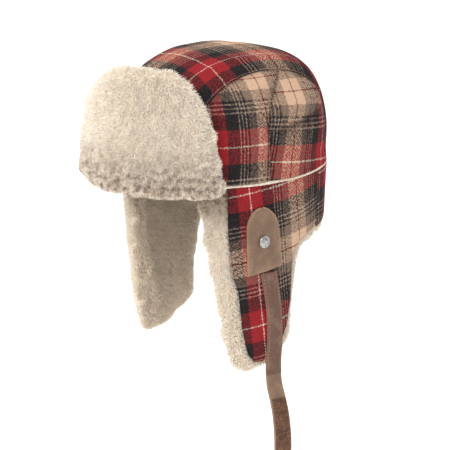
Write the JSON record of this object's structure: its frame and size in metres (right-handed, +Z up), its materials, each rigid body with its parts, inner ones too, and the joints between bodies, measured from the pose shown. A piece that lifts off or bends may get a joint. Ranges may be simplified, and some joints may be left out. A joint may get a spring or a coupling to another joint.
{
  "type": "trapper hat",
  "caption": "Winter hat with a padded plaid crown, raised fur front flap, fur-lined ear and neck flaps, leather patches and a hanging chin strap.",
  "frame": {"origin": "centre of the head opening, at the level of the seam between the crown and the flaps", "axes": "+Z up, -Y the way the wearer looks, +X the wearer's left"},
  "size_m": [0.203, 0.2515, 0.4223],
  "materials": {
    "plaid_wool": "brushed twill, red, black and beige plaid",
    "faux_fur": "deep cream pile",
    "wadding": "soft fibre wadding",
    "lining": "smooth woven lining",
    "sweatband": "woven band",
    "interlining": "felted interlining",
    "piping": "cream piping",
    "leather": "waxed, worn at the edges",
    "loop_tape": "looped pile tape",
    "rivet_metal": "dull nickel"
  },
  "bodies": {
    "crown": {"crown_centre_panel": "plaid_wool", "left_front_side_panel": "plaid_wool", "right_front_side_panel": "plaid_wool", "left_rear_side_panel": "plaid_wool", "right_rear_side_panel": "plaid_wool", "crown_wadding": "wadding", "crown_lining": "lining", "sweatband": "sweatband", "seam_piping": "piping"},
    "front_flap": {"front_flap_backing": "plaid_wool", "front_flap_interlining": "interlining", "front_flap_fur": "faux_fur"},
    "neck_flap": {"neck_flap_shell": "plaid_wool", "neck_flap_interlining": "interlining", "neck_flap_fur": "faux_fur"},
    "left_ear_flap": {"left_ear_flap_shell": "plaid_wool", "left_ear_flap_interlining": "interlining", "left_ear_flap_fur": "faux_fur", "left_strap_patch": "leather", "left_strap_sewn": "leather", "left_rivet": "rivet_metal", "left_rivet_washer": "rivet_metal"},
    "right_ear_flap": {"right_ear_flap_shell": "plaid_wool", "right_ear_flap_interlining": "interlining", "right_ear_flap_fur": "faux_fur", "right_strap_patch": "leather", "right_strap_tab": "leather", "right_rivet": "rivet_metal", "right_rivet_washer": "rivet_metal"},
    "left_strap": {"left_strap_free": "leather", "left_strap_loop_tape": "loop_tape"},
    "right_ring": {"right_strap_ring": "rivet_metal"}
  },
  "joints": [
    {"name": "front_flap_fold", "type": "hinge", "parent": "crown", "child": "front_flap", "pos_m": [0, -0.1135, 0.0005], "axis": [1, 0, 0], "range_deg": [0, 150]},
    {"name": "left_ear_flap_fold", "type": "hinge", "parent": "crown", "child": "left_ear_flap", "pos_m": [0.0948, 0, -0.0015], "axis": [0, -1, 0], "range_deg": [0, 150]},
    {"name": "right_ear_flap_fold", "type": "hinge", "parent": "crown", "child": "right_ear_flap", "pos_m": [-0.0948, 0, -0.0015], "axis": [0, 1, 0], "range_deg": [0, 150]},
    {"name": "neck_flap_fold", "type": "hinge", "parent": "crown", "child": "neck_flap", "pos_m": [0, 0.1128, -0.0015], "axis": [1, 0, 0], "range_deg": [0, 110]},
    {"name": "left_strap_swing", "type": "hinge", "parent": "left_ear_flap", "child": "left_strap", "pos_m": [0.09084, -0.0075, -0.1899], "axis": [0, -1, 0], "range_deg": [-80, 95]},
    {"name": "right_ring_swing", "type": "hinge", "parent": "right_ear_flap", "child": "right_ring", "pos_m": [-0.09466, -0.01184, -0.1158], "axis": [0, 1, 0], "range_deg": [0, 120]}
  ]
}
